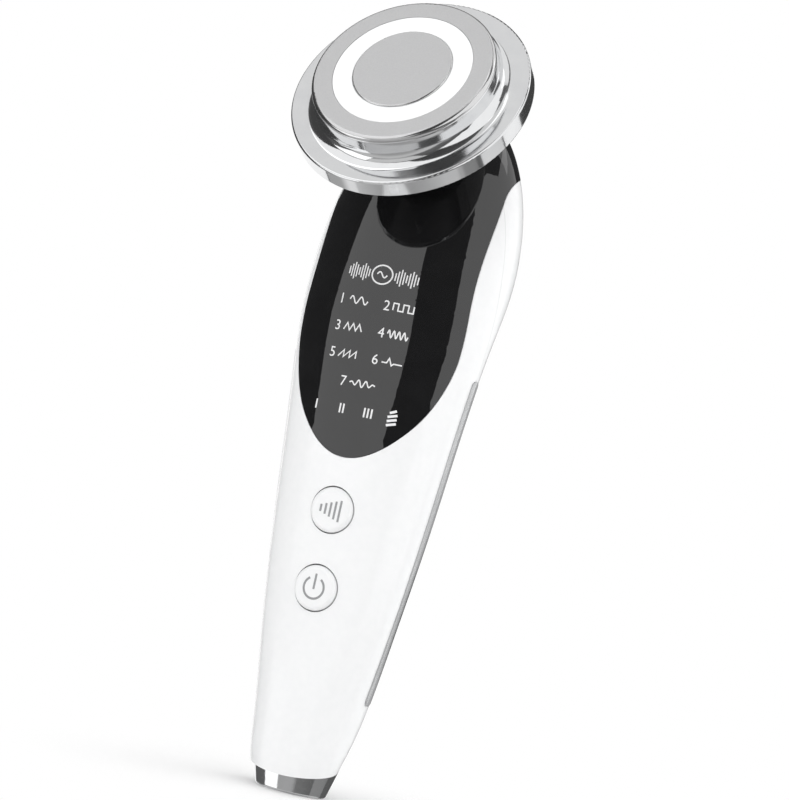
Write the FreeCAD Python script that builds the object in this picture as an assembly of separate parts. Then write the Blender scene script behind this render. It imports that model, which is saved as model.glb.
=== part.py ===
import FreeCAD
import Part
import math
import os

V = FreeCAD.Vector

# Handle: an oval body that stands on its flat tail, with the display side facing -Y.
body_half_width = 22.15
body_half_depth = 14.1
body_lean = 3.9
dome_base = 110.6
dome_height = 38.0
dome_lean = 4.65
# Height, half width, half depth and lean of each oval below the dome, from the tail up.
oval_shares = (
    (0.0, 0.339, 0.568, 0.0),
    (0.107, 0.494, 0.592, -0.039),
    (0.3125, 0.654, 0.656, 0.039),
    (0.536, 0.79, 0.727, 0.141),
    (0.759, 0.903, 0.777, 0.166),
    (0.893, 0.978, 0.86, 0.38),
    (1.0, 1.0, 1.0, 1.0),
)
dome_shares = (0.263, 0.474, 0.684, 0.842, 0.947, 0.99)
wall = 2.0
skin = 1.0
reach = 120.0

# Seams between the shells and the display cover.
seam = 0.12
parting_y = 0.55
lip_overlap = 1.5
lip_gap = 0.05
full_round_share = 0.999
ledge_width = 2.0

# Display cover: a parabola at its lower end, a sweeping edge on each side.
cover_tip_z = 69.2
cover_shoulder_z = 89.4
cover_shoulder_half = 19.6
cover_blend = 3.0
cover_edge_y = -4.7
cover_edge_z = 101.6
cover_edge_radius = 62.0
cover_corner_radius = 10.0
cover_rear_z = 133.8

# Head: stepped round disc on an axis tilted forward from the vertical.
head_y = -16.77
head_z = 144.44
head_tilt = 60.0
brim_radius = 25.0
brim_thickness = 4.0
brim_edge = 0.45
brim_back_edge = 0.3
brim_rim = 1.6
crown_share = 0.76
crown_height = 5.1
crown_draft = 0.35
crown_cove = 2.7
crown_wall = 1.8
crown_chamfer = 0.3
crown_lip = 1.6
recess_roof = 1.6
recess_outer = brim_radius - brim_rim
crown_top_radius = crown_share * brim_radius
crown_foot_radius = crown_top_radius + crown_draft
crown_bore = crown_top_radius - crown_wall
recess_inner = crown_bore + crown_lip

# Treatment face, measured from the front of the brim.
face_height = 6.27
face_overhang = 0.1
face_edge = 0.95
face_plate = 1.05
face_band_share = 0.184
face_skirt_gap = 0.1
face_skirt_wall = 1.1
face_skirt_height = 3.2
window_band_share = 0.166
window_height = 6.22
window_foot_gap = 0.3
window_foot_inset = 0.95
window_foot_bottom = 3.8
window_foot_top = 4.5
disc_height = 6.5
disc_edge = 0.3
disc_bottom = 4.6
stud_radius = 1.6
ring_gap = 0.08
face_radius = crown_top_radius + face_overhang
face_skirt_outer = crown_bore - face_skirt_gap
face_skirt_inner = face_skirt_outer - face_skirt_wall
window_radius = face_radius - face_band_share * brim_radius
disc_radius = window_radius - window_band_share * brim_radius
window_foot_outer = face_skirt_inner - window_foot_gap
window_foot_inner = disc_radius - window_foot_inset

# Inside of the head.
carrier_gap = 0.15
carrier_top = 2.0
carrier_thickness = 1.4
carrier_bore = 3.2
cradle_half_length = 4.6
cradle_half_width = 4.0
led_board_gap = 0.25
led_board_band = 4.8
led_board_thickness = 1.0
led_count = 12
led_inset = 0.875
led_length = 1.6
led_width = 0.9
led_height = 0.6
screw_inset = 2.05
screw_count = 3
screw_first_angle = 90.0
screw_head_radius = 1.45
screw_head_height = 0.9
screw_radius = 0.75
screw_length = 6.0
screw_gap = 0.05
boss_radius = 2.2
carrier_radius = crown_bore - carrier_gap
cradle_top = carrier_top - carrier_thickness / 2
screw_circle = carrier_radius - screw_inset
led_board_outer = screw_circle - screw_head_radius - led_board_gap
led_board_inner = led_board_outer - led_board_band
led_circle = led_board_outer - led_inset

# Back cover of the head and the neck.
back_step = 1.0
back_rim_gap = 0.1
back_rim_wall = 1.8
back_shoulder = 5.2
back_shoulder_edge = 1.4
back_floor = 10.6
back_floor_margin = 1.2
back_floor_edge = 2.5
back_wall = 1.5
neck_share = 0.424
neck_wall = 2.5
neck_collar_width = 1.6
neck_collar_thickness = 1.1
neck_tail = 2.6
neck_gap = 0.1
socket_wall = 2.6
socket_end = 21.6
clip_thickness = 1.0
clip_groove = 1.2
clip_width = 1.3
seal_inset = 1.2
seal_width = 1.2
seal_thickness = 1.0
back_radius = brim_radius - back_step
rim_radius = recess_outer - back_rim_gap
back_rim_inner = rim_radius - back_rim_wall
neck_radius = neck_share * (brim_radius + body_half_width) / 2
neck_bore = neck_radius - neck_wall
neck_collar_radius = neck_radius + neck_collar_width
back_floor_radius = neck_collar_radius + back_floor_margin
socket_radius = neck_radius + socket_wall
clip_radius = neck_radius + clip_width
neck_end = socket_end + neck_tail
seal_depth = socket_end - seal_inset - seal_width

# Vibration motor across the head.
motor_axis = 4.4
motor_radius = 3.0
motor_length = 11.0
motor_shift = -1.5
motor_gap = 0.05
shaft_radius = 0.5
shaft_gap = 0.03
shaft_bearing = 3.0
shaft_length = 4.5
weight_start = 0.8
weight_length = 3.0
weight_radius = 2.8
weight_gap = 0.01
hub_radius = 1.2

# Side electrodes on the parting line.
strip_low_z = 20.6
strip_high_z = 90.1
strip_width = 2.2
strip_proud = 0.35
strip_depth = 0.85
strip_gap = 0.06
post_radius = 0.8
post_gap = 0.06
post_length = 3.3
post_low_z = 30.6
post_high_z = 76.6

# Push buttons.
button_radius = 4.68
button_gap = 0.24
button_edge = 0.95
button_proud = 0.7
button_mode_z = 58.3
button_power_z = 42.1
button_skirt_radius = 5.7
button_skirt_thickness = 0.8
button_skirt_drop = 2.95
button_travel = 0.4
switch_size = 6.0
switch_height = 1.9
plunger_radius = 1.6
plunger_gap = 0.05
plunger_insert = 0.4
plunger_relief = 0.1

# Tail cap with its charging inlet.
tail_seam_z = 5.5
tail_seam_tilt = 14.0
tail_width_share = 0.3436
tail_depth_share = 0.4468
tail_taper = 15.0
tail_wall = 1.5
tail_floor = 1.6
tail_edge = 0.7
spigot_gap = 0.08
spigot_wall = 1.1
spigot_rise = 3.0
spigot_sink = 2.4
inlet_width = 8.94
inlet_height = 3.26
inlet_gap = 0.15
inlet_shell = 0.3
inlet_bottom = 0.5
inlet_length = 7.6
tongue_width = 6.7
tongue_thickness = 0.7
tongue_recess = 1.2
tongue_base = 1.6

# Main board and what it carries.
board_thickness = 1.2
board_bottom_z = 2.6
board_step_z = 9.0
board_flare_z = 13.0
board_mid_z = 58.6
board_top_z = 112.6
board_tail_margin = 2.95
board_flare_margin = 4.72
board_mid_margin = 3.8
board_top_margin = 6.95
board_corner = 1.5
board_front_y = -(board_thickness + inlet_height / 2)
mount_low_margin = 6.65
mount_low_z = 28.6
mount_high_margin = 6.05
mount_high_z = 68.6
mount_bore_gap = 0.3
mount_screw_length = 3.8
mount_head_radius = 1.6
mount_head_height = 0.9
guide_share = 0.406
guide_low_z = 75.4
guide_high_z = 111.6
guide_front_y = -6.4
guide_corner = 1.5
cell_column_share = 0.208
cell_width_share = 0.167
cell_half_height = 2.0
cell_row_z = 90.1
cell_row_pitch = 5.6
cell_row_count = 3
cell_single_z = 84.6
cell_level_z = 79.0
level_pitch_share = 0.19
cell_level_count = 4
level_width_share = 0.068
cell_emblem_z = 107.3
cell_emblem_radius = 3.0
lamp_length = 1.6
lamp_width = 0.8
lamp_height = 0.6
battery_margin = 5.0
battery_thickness = 5.0
battery_low_z = 34.6
battery_high_z = 78.6
battery_edge = 1.2
pad_thickness = 0.5
pad_margin = 2.0
coil_z = 90.6
coil_radius = 6.0
coil_height = 7.0
coil_flange = 1.2
coil_core_radius = 3.0
coil_gap = 0.1
chip_size = 7.0
chip_height = 0.9
chip_z = 20.5
driver_width = 5.0
driver_length = 6.0
driver_height = 1.7
driver_share = 0.406
driver_z = 101.6
socket_half_width = 3.6
socket_height = 3.8
socket_low_z = 103.6
socket_high_z = 108.6
ribbon_half_width = 2.6
ribbon_thickness = 0.3
ribbon_offset = -5.0
ribbon_bend = 6.0
ribbon_insert = 2.0
ribbon_margin = 1.0
leaf_thickness = 0.4
leaf_half_length = 2.0
leaf_foot = 2.0
leaf_gap = 0.02


def box(low, high):
    size = high - low
    return Part.makeBox(size.x, size.y, size.z, low)


def rounded_wire(corners, place):
    """Closed wire through corners (a, b, radius), each corner rounded by its radius."""
    points = [(V(c[0], c[1], 0), c[2] if len(c) > 2 else 0) for c in corners]
    starts = []
    ends = []
    middles = []
    for i, (corner, radius) in enumerate(points):
        before = points[i - 1][0] - corner
        after = points[(i + 1) % len(points)][0] - corner
        before.normalize()
        after.normalize()
        if radius == 0:
            starts.append(corner)
            ends.append(corner)
            middles.append(None)
            continue
        half = before.getAngle(after) / 2
        run = radius / math.tan(half)
        bisector = before + after
        bisector.normalize()
        centre = corner + bisector * (radius / math.sin(half))
        starts.append(corner + before * run)
        ends.append(corner + after * run)
        middles.append(centre - bisector * radius)
    edges = []
    for i, middle in enumerate(middles):
        if middle is not None:
            edges.append(Part.Arc(place(starts[i]), place(middle), place(ends[i])).toShape())
        following = starts[(i + 1) % len(starts)]
        edges.append(Part.makeLine(place(ends[i]), place(following)))
    return Part.Wire(edges)


def along_x(corners, x_low, x_high):
    """Prism of a (y, z) outline between two x planes."""
    face = Part.Face(rounded_wire(corners, lambda p: V(x_low, p.x, p.y)))
    return face.extrude(V(x_high - x_low, 0, 0))


def along_y(corners, y_low, y_high):
    """Prism of an (x, z) outline between two y planes."""
    face = Part.Face(rounded_wire(corners, lambda p: V(p.x, y_low, p.y)))
    return face.extrude(V(0, y_high - y_low, 0))


def along_z(corners, z_low, z_high):
    """Prism of an (x, y) outline between two z planes."""
    face = Part.Face(rounded_wire(corners, lambda p: V(p.x, p.y, z_low)))
    return face.extrude(V(0, 0, z_high - z_low))


def turned(corners):
    """Solid of revolution of an (r, h) outline about the local Z axis."""
    face = Part.Face(rounded_wire(corners, lambda p: V(p.x, 0, p.y)))
    return face.revolve(V(0, 0, 0), V(0, 0, 1), 360)


def pin(base, direction, radius, length):
    return Part.makeCylinder(radius, length, base, direction)


def union(shapes):
    return shapes[0].multiFuse(shapes[1:]).removeSplitter()


def station(z):
    """Half width, half depth and lean of the handle at a height below the dome base."""
    share = z / dome_base
    for low, high in zip(oval_shares, oval_shares[1:]):
        if share <= high[0]:
            break
    step = (share - low[0]) / (high[0] - low[0])
    mixed = [a + (b - a) * step for a, b in zip(low, high)]
    return mixed[1] * body_half_width, mixed[2] * body_half_depth, mixed[3] * body_lean


def front_y(z):
    half_width, half_depth, lean = station(z)
    return lean - half_depth


def oval(z, half_width, half_depth, lean):
    """Elliptic wire at a height, starting at its rear whichever of its axes is the longer."""
    centre = V(0, lean, z)
    if half_width >= half_depth:
        curve = Part.Ellipse(centre, half_width, half_depth)
        return Part.Wire(curve.toShape(math.pi / 2, 5 * math.pi / 2))
    curve = Part.Ellipse(centre + V(0, half_depth, 0), centre - V(half_width, 0, 0), centre)
    return Part.Wire(curve.toShape(0, 2 * math.pi))


def body(grow):
    """Solid handle form, grown outwards (or shrunk, when negative) by a distance."""
    wires = []
    for share, width_share, depth_share, lean_share in oval_shares:
        wires.append(oval(share * dome_base, width_share * body_half_width + grow,
                          depth_share * body_half_depth + grow, lean_share * body_lean))
    for share in dome_shares:
        closing = math.sqrt(1 - share * share)
        wires.append(oval(dome_base + share * (dome_height + grow),
                          closing * (body_half_width + grow),
                          closing * (body_half_depth + grow), body_lean + share * dome_lean))
    return Part.makeLoft(wires, True, False)


def below_tail_seam(shift):
    """Everything under the tilted seam of the tail cap, the seam moved up by a distance."""
    low = V(-reach, -reach, tail_seam_z + shift - reach)
    block = box(low, V(reach, reach, tail_seam_z + shift))
    block.rotate(V(0, 0, tail_seam_z + shift), V(1, 0, 0), tail_seam_tilt)
    return block


def tail_cone(inset):
    """Tapered oval form of the tail cap, shrunk by a distance."""
    spread = reach * math.tan(math.radians(tail_taper))
    low = oval(0, tail_foot_half_width - inset, tail_foot_half_depth - inset, 0)
    high = oval(reach, tail_foot_half_width - inset + spread, tail_foot_half_depth - inset + spread, 0)
    return Part.makeLoft([low, high], True, True)


def cover_zone(inset):
    """Space taken by the display cover: a parabola in front view and a sweep in side view."""
    tip = cover_tip_z + inset
    half = cover_shoulder_half - inset
    rise = cover_shoulder_z - tip
    spread = reach / cover_shoulder_half
    wide = half * math.sqrt(spread)
    top = tip + rise * spread
    curve = Part.BezierCurve()
    curve.setPoles([V(-wide, -reach, top), V(0, -reach, 2 * tip - top), V(wide, -reach, top)])
    lid = Part.makeLine(V(wide, -reach, top), V(-wide, -reach, top))
    front = Part.Face(Part.Wire([curve.toShape(), lid])).extrude(V(0, 2 * reach, 0))

    edge = cover_edge_y - inset
    large = cover_edge_radius + inset
    small = cover_corner_radius + inset
    rear = cover_rear_z + inset
    turn = math.asin((rear - cover_edge_z - small) / (large - small))
    start = V(-reach, edge, cover_edge_z)
    middle = start + V(0, large * (1 - math.cos(turn / 2)), large * math.sin(turn / 2))
    joint = start + V(0, large * (1 - math.cos(turn)), large * math.sin(turn))
    centre = joint + V(0, small * math.cos(turn), -small * math.sin(turn))
    crest = centre + V(0, 0, small)
    half_turn = (math.pi / 2 + turn) / 2
    between = centre + V(0, -small * math.cos(half_turn), small * math.sin(half_turn))
    foot = V(-reach, edge, 0)
    corners = [V(-reach, reach, rear), V(-reach, reach, 2 * reach), V(-reach, -reach, 2 * reach),
               V(-reach, -reach, 0)]
    edges = [Part.makeLine(foot, start), Part.Arc(start, middle, joint).toShape(),
             Part.Arc(joint, between, crest).toShape()]
    chain = [crest] + corners + [foot]
    edges += [Part.makeLine(a, b) for a, b in zip(chain, chain[1:])]
    side = Part.Face(Part.Wire(edges)).extrude(V(2 * reach, 0, 0))
    zone = front.common(side)
    bend = [e for e in zone.Edges
            if abs(e.BoundBox.YMin - edge) < seam and e.BoundBox.YLength < seam
            and e.BoundBox.ZMin < tip + seam]
    return zone.makeFillet(cover_blend, bend)


def in_head(shape):
    """Move a shape from the head's own axes to its tilted place."""
    moved = shape.copy()
    place = FreeCAD.Placement(V(0, head_y, head_z), FreeCAD.Rotation(V(1, 0, 0), head_tilt))
    moved.Placement = place.multiply(moved.Placement)
    return moved


def around(count, radius, first_angle):
    turns = [math.radians(first_angle + i * 360 / count) for i in range(count)]
    return [V(radius * math.cos(a), radius * math.sin(a), 0) for a in turns]


# Sizes that follow the handle: widths at a height less a margin, or shares of its half width.
tail_foot_half_width = tail_width_share * body_half_width
tail_foot_half_depth = tail_depth_share * body_half_depth
board_tail_half = tail_foot_half_width - board_tail_margin
board_flare_half = station(board_flare_z)[0] - board_flare_margin
board_mid_half = station(board_mid_z)[0] - board_mid_margin
board_top_half = body_half_width - board_top_margin
mount_low_x = station(mount_low_z)[0] - mount_low_margin
mount_high_x = station(mount_high_z)[0] - mount_high_margin
battery_half_width = station(battery_low_z)[0] - battery_margin
guide_half_width = guide_share * body_half_width
cell_column = cell_column_share * body_half_width
cell_half_width = cell_width_share * body_half_width
cell_level_pitch = level_pitch_share * body_half_width
cell_level_half = level_width_share * body_half_width
driver_x = driver_share * body_half_width

parts = {}
outer = body(0)
inner = body(-wall)
middle_form = body(-skin)
loose_form = body(-skin + lip_gap)
grown = body(strip_proud)
envelope = body(wall)
hollow = outer.cut(inner)
outer_layer = envelope.cut(middle_form)
opening = cover_zone(0)
cover_outline = cover_zone(seam)
ledge_outline = cover_zone(ledge_width)
cover_step = cover_zone(ledge_width + seam)
far_low = V(-reach, -reach, -reach)
far_high = V(reach, reach, 2 * reach)
front_lip = box(far_low, V(reach, parting_y + lip_overlap, 2 * reach))
rear_half = box(V(-reach, parting_y + lip_gap, -reach), far_high)
rear_step = box(far_low, V(reach, parting_y + lip_overlap + lip_gap, 2 * reach))
tail_cut = below_tail_seam(seam)


def strip_zone(extra):
    """Round-ended slot along the parting line, through both sides of the handle."""
    half = strip_width / 2 + extra
    corners = [(parting_y - half, strip_low_z - extra, half), (parting_y + half, strip_low_z - extra, half),
               (parting_y + half, strip_high_z + extra, half), (parting_y - half, strip_high_z + extra, half)]
    shrunk = [(y, z, radius * full_round_share) for y, z, radius in corners]
    return along_x(shrunk, -reach, reach)


strip_channel = strip_zone(strip_gap).cut(body(-strip_depth - strip_gap))
post_holes = [pin(V(-reach, parting_y, z), V(1, 0, 0), post_radius + post_gap, 2 * reach)
              for z in (post_low_z, post_high_z)]

# Front shell, stepped under the display cover and lapped over the rear shell.
front = hollow.common(front_lip)
front = front.cut(outer_layer.common(box(V(-reach, parting_y, -reach), far_high)))
front = front.cut(outer_layer.common(opening))
front = front.cut(ledge_outline)
front = front.cut(tail_cut)
front = front.cut(strip_channel)
front = front.cut(post_holes)
for z in (button_mode_z, button_power_z):
    front = front.cut(pin(V(0, parting_y, z), V(0, -1, 0), button_radius + button_gap, reach))
mounts = [(side * x, z) for side in (-1, 1)
          for x, z in ((mount_low_x, mount_low_z), (mount_high_x, mount_high_z))]
pillars = [pin(V(x, board_front_y, z), V(0, -1, 0), boss_radius, reach).common(middle_form)
           for x, z in mounts]
front = union([front] + pillars)
bore_length = mount_screw_length - board_thickness + screw_gap
for x, z in mounts:
    front = front.cut(pin(V(x, board_front_y, z), V(0, -1, 0), screw_radius + screw_gap, bore_length))
parts["front_shell"] = front

# Rear shell, running from the tail seam up to the rear edge of the display cover.
rear = hollow.common(rear_half)
rear = rear.cut(loose_form.common(rear_step))
rear = rear.cut(opening)
rear = rear.cut(tail_cut)
rear = rear.cut(strip_channel)
rear = rear.cut(post_holes)
parts["rear_shell"] = rear

# Display cover, closing the top of the handle and holding the neck in a socket.
cover = hollow.common(cover_outline)
cover = cover.cut(loose_form.cut(cover_step))
socket = in_head(pin(V(0, 0, -socket_end), V(0, 0, 1), socket_radius, socket_end))
cover = union([cover, socket.common(middle_form)])
neck_hole = in_head(pin(V(0, 0, -neck_end), V(0, 0, 1), neck_radius + neck_gap, neck_end))
seal_groove = in_head(turned([(neck_radius, -seal_depth - seal_width),
                              (neck_radius + neck_gap + seal_thickness, -seal_depth - seal_width),
                              (neck_radius + neck_gap + seal_thickness, -seal_depth),
                              (neck_radius, -seal_depth)]))
cover = cover.cut(neck_hole)
cover = cover.cut(seal_groove)
parts["display_cover"] = cover

# Side electrodes with their contact posts.
strip_form = strip_zone(0).common(grown.cut(body(-strip_depth)))
for name, side in (("left_electrode", -1), ("right_electrode", 1)):
    half = box(V(0, -reach, 0), far_high)
    if side < 0:
        half = box(V(-reach, -reach, 0), V(0, reach, 2 * reach))
    bar = strip_form.common(half)
    posts = []
    for z in (post_low_z, post_high_z):
        half_width = station(z)[0]
        base = V(side * (half_width - strip_depth / 2), parting_y, z)
        posts.append(pin(base, V(-side, 0, 0), post_radius, post_length))
    parts[name] = union([bar] + posts)

# Push buttons and their switches.
for name, z in (("mode", button_mode_z), ("power", button_power_z)):
    skirt_y = front_y(z) + button_skirt_drop
    top = button_skirt_drop + button_proud
    skirt = -button_skirt_thickness
    cap = turned([(0, skirt), (button_skirt_radius, skirt), (button_skirt_radius, 0),
                  (button_radius, 0), (button_radius, top, button_edge), (0, top)])
    cap.Placement = FreeCAD.Placement(V(0, skirt_y, z), FreeCAD.Rotation(V(1, 0, 0), 90))
    parts[name + "_button"] = cap
    lid = board_front_y - switch_height
    half = switch_size / 2
    case = box(V(-half, lid, z - half), V(half, board_front_y, z + half))
    depth = plunger_insert + button_travel + plunger_relief
    case = case.cut(pin(V(0, lid, z), V(0, 1, 0), plunger_radius + plunger_gap, depth))
    parts[name + "_switch"] = case
    start = skirt_y + button_skirt_thickness
    parts[name + "_plunger"] = pin(V(0, start, z), V(0, 1, 0), plunger_radius, lid + plunger_insert - start)

# Tail cap: a flat-bottomed cup with a spigot inside the shells and a slot for the inlet.
cap = tail_cone(0).common(below_tail_seam(0))
rim = [e for e in cap.Edges if abs(e.BoundBox.ZMax) < seam]
cap = cap.makeFillet(tail_edge, rim)
floor = box(far_low, V(reach, reach, tail_floor))
cap = cap.cut(tail_cone(tail_wall).cut(floor))
spigot = body(-wall - spigot_gap).cut(body(-wall - spigot_gap - spigot_wall))
spigot = spigot.common(below_tail_seam(spigot_rise)).cut(below_tail_seam(-spigot_sink))
cap = union([cap, spigot])
inlet_y = board_front_y + board_thickness + inlet_height / 2


def obround(width, height, z_low, z_high):
    half = width / 2
    rise = height / 2
    corner = rise * full_round_share
    corners = [(-half, inlet_y - rise, corner), (half, inlet_y - rise, corner),
               (half, inlet_y + rise, corner), (-half, inlet_y + rise, corner)]
    return along_z(corners, z_low, z_high)


inlet_top = inlet_bottom + inlet_length
slot = obround(inlet_width + 2 * inlet_gap, inlet_height + 2 * inlet_gap, -tail_floor, inlet_top)
parts["tail_cap"] = cap.cut(slot)
mouth = obround(inlet_width - 2 * inlet_shell, inlet_height - 2 * inlet_shell, 0, inlet_top - tongue_base)
parts["inlet_shell"] = obround(inlet_width, inlet_height, inlet_bottom, inlet_top).cut(mouth)
tongue_low = V(-tongue_width / 2, inlet_y - tongue_thickness / 2, inlet_bottom + tongue_recess)
tongue_high = V(tongue_width / 2, inlet_y + tongue_thickness / 2, inlet_top - tongue_base)
parts["inlet_tongue"] = box(tongue_low, tongue_high)

# Head: chrome brim and crown in one turned piece.
parts["head_brim"] = in_head(turned([
    (crown_bore, crown_height), (crown_bore, -brim_thickness), (recess_inner, -brim_thickness),
    (recess_inner, -recess_roof), (recess_outer, -recess_roof), (recess_outer, -brim_thickness),
    (brim_radius, -brim_thickness, brim_back_edge), (brim_radius, 0, brim_edge),
    (crown_foot_radius, 0, crown_cove), (crown_top_radius, crown_height, crown_chamfer)]))

# Treatment face: outer electrode, light window and centre electrode.
plate_bottom = face_height - face_plate
parts["outer_electrode"] = in_head(turned([
    (window_radius + ring_gap, face_height), (face_radius, face_height, face_edge),
    (face_radius, plate_bottom), (face_skirt_outer, plate_bottom),
    (face_skirt_outer, face_skirt_height), (face_skirt_inner, face_skirt_height),
    (face_skirt_inner, window_foot_top + ring_gap), (window_radius + ring_gap, window_foot_top + ring_gap)]))
parts["light_window"] = in_head(turned([
    (disc_radius + ring_gap, window_height), (window_radius, window_height),
    (window_radius, window_foot_top), (window_foot_outer, window_foot_top),
    (window_foot_outer, window_foot_bottom), (window_foot_inner, window_foot_bottom),
    (window_foot_inner, window_foot_top), (disc_radius + ring_gap, window_foot_top)]))
parts["centre_electrode"] = in_head(turned([
    (0, disc_height), (disc_radius, disc_height, disc_edge), (disc_radius, disc_bottom),
    (stud_radius, disc_bottom), (stud_radius, cradle_top), (0, cradle_top)]))

# Carrier inside the head, with the motor cradle below it.
carrier_bottom = carrier_top - carrier_thickness
plate = turned([(carrier_bore, carrier_bottom), (carrier_radius, carrier_bottom),
                (carrier_radius, carrier_top), (carrier_bore, carrier_top)])
cradle = box(V(motor_shift - cradle_half_length, -cradle_half_width, -motor_axis),
             V(motor_shift + cradle_half_length, cradle_half_width, cradle_top))
motor_space = pin(V(-reach, 0, -motor_axis), V(1, 0, 0), motor_radius + motor_gap, 2 * reach)
carrier = union([plate, cradle.cut(motor_space)])
screw_places = around(screw_count, screw_circle, screw_first_angle)
for p in screw_places:
    carrier = carrier.cut(pin(p, V(0, 0, 1), screw_radius + screw_gap, reach))
ribbon_slot = box(V(-ribbon_half_width - ring_gap, ribbon_offset - ribbon_thickness, -reach),
                  V(ribbon_half_width + ring_gap, ribbon_offset + ribbon_thickness, reach))
carrier = carrier.cut(ribbon_slot)
parts["head_carrier"] = in_head(carrier)
board_top = carrier_top + led_board_thickness
parts["led_board"] = in_head(turned([(led_board_inner, carrier_top), (led_board_outer, carrier_top),
                                     (led_board_outer, board_top), (led_board_inner, board_top)]))
leds = []
for i in range(led_count):
    chip = box(V(led_circle - led_width / 2, -led_length / 2, board_top),
               V(led_circle + led_width / 2, led_length / 2, board_top + led_height))
    chip.rotate(V(0, 0, 0), V(0, 0, 1), i * 360 / led_count)
    leds.append(in_head(chip))
parts["head_leds"] = Part.makeCompound(leds)
screws = []
for p in screw_places:
    head = pin(p + V(0, 0, carrier_top), V(0, 0, 1), screw_head_radius, screw_head_height)
    shank = pin(p + V(0, 0, carrier_top - screw_length), V(0, 0, 1), screw_radius, screw_length)
    screws.append(in_head(union([head, shank])))
parts["head_screws"] = Part.makeCompound(screws)

# Back cover of the head, its rim let into the brim, with bosses for the screws.
back_face = brim_thickness + back_rim_gap
shell = turned([
    (rim_radius, -recess_roof - back_rim_gap), (rim_radius, -back_face), (back_radius, -back_face),
    (back_radius, -back_shoulder, back_shoulder_edge), (back_floor_radius, -back_floor, back_floor_edge),
    (neck_radius + neck_gap, -back_floor), (neck_radius + neck_gap, -back_floor + back_wall),
    (back_floor_radius - back_wall / 2, -back_floor + back_wall),
    (back_rim_inner, -back_shoulder + back_wall / 2), (back_rim_inner, -recess_roof - back_rim_gap)])
solid_back = turned([(0, carrier_bottom), (crown_bore - back_rim_gap, carrier_bottom),
                     (crown_bore - back_rim_gap, -brim_thickness), (back_rim_inner, -back_shoulder),
                     (back_floor_radius - back_wall / 2, -back_floor + back_wall / 2),
                     (0, -back_floor + back_wall / 2)])
collar_space = pin(V(0, 0, -back_floor), V(0, 0, 1), neck_collar_radius + neck_gap, reach)
solid_back = solid_back.cut(collar_space)
bosses = []
for p in screw_places:
    post = pin(p + V(0, 0, -back_floor), V(0, 0, 1), boss_radius, back_floor + carrier_bottom)
    bosses.append(post.common(solid_back))
shell = union([shell] + bosses)
for p in screw_places:
    bore = carrier_top - screw_length - screw_gap
    shell = shell.cut(pin(p + V(0, 0, bore), V(0, 0, 1), screw_radius + screw_gap, reach))
parts["head_back"] = in_head(shell)

# Neck tube with its collar, spring clip and seal.
collar_low = -back_floor + back_wall
neck_low = -neck_end
groove_top = -socket_end
parts["neck"] = in_head(turned([
    (neck_bore, collar_low + neck_collar_thickness), (neck_collar_radius, collar_low + neck_collar_thickness),
    (neck_collar_radius, collar_low), (neck_radius, collar_low), (neck_radius, groove_top),
    (neck_radius - clip_groove, groove_top), (neck_radius - clip_groove, groove_top - clip_thickness),
    (neck_radius, groove_top - clip_thickness), (neck_radius, neck_low), (neck_bore, neck_low)]))
clip_bore = neck_radius - clip_groove + neck_gap
parts["neck_clip"] = in_head(turned([
    (clip_bore, groove_top), (clip_radius, groove_top),
    (clip_radius, groove_top - clip_thickness), (clip_bore, groove_top - clip_thickness)]))
seal_radius = neck_radius + neck_gap + seal_thickness
parts["neck_seal"] = in_head(turned([
    (neck_radius, -seal_depth), (seal_radius, -seal_depth),
    (seal_radius, -seal_depth - seal_width), (neck_radius, -seal_depth - seal_width)]))

# Vibration motor: can, shaft and the weight that hangs below the shaft.
can_end = motor_shift + motor_length / 2
can = pin(V(can_end - motor_length, 0, -motor_axis), V(1, 0, 0), motor_radius, motor_length)
can = can.cut(pin(V(can_end - shaft_bearing - shaft_gap, 0, -motor_axis), V(1, 0, 0),
                  shaft_radius + shaft_gap, reach))
parts["motor_can"] = in_head(can)
shaft_start = V(can_end - shaft_bearing, 0, -motor_axis)
shaft = pin(shaft_start, V(1, 0, 0), shaft_radius, shaft_bearing + shaft_length)
parts["motor_shaft"] = in_head(shaft)
spin = in_head(Part.Vertex(V(can_end + weight_start, 0, -motor_axis))).Point
disc = pin(spin, V(1, 0, 0), weight_radius, weight_length)
disc = disc.cut(box(spin + V(-reach, -reach, 0), spin + V(reach, reach, reach)))
hub = pin(spin, V(1, 0, 0), hub_radius, weight_length)
weight = union([disc, hub]).cut(pin(spin - V(reach, 0, 0), V(1, 0, 0), shaft_radius + weight_gap, 2 * reach))
parts["motor_weight"] = weight

# Main board, stepped at the tail and flared with the handle.
outline = [(-board_tail_half, board_bottom_z), (board_tail_half, board_bottom_z),
           (board_tail_half, board_step_z), (board_flare_half, board_flare_z),
           (board_mid_half, board_mid_z, board_corner),
           (board_top_half, board_top_z, board_corner), (-board_top_half, board_top_z, board_corner),
           (-board_mid_half, board_mid_z, board_corner), (-board_flare_half, board_flare_z),
           (-board_tail_half, board_step_z)]
board_back_y = board_front_y + board_thickness
board = along_y(outline, board_front_y, board_back_y)
for x, z in mounts:
    board = board.cut(pin(V(x, board_front_y, z), V(0, 1, 0), screw_radius + mount_bore_gap, board_thickness))
parts["main_board"] = board
screws = []
for x, z in mounts:
    head = pin(V(x, board_back_y, z), V(0, 1, 0), mount_head_radius, mount_head_height)
    shank = pin(V(x, board_back_y, z), V(0, -1, 0), screw_radius, mount_screw_length)
    screws.append(union([head, shank]))
parts["board_screws"] = Part.makeCompound(screws)

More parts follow.
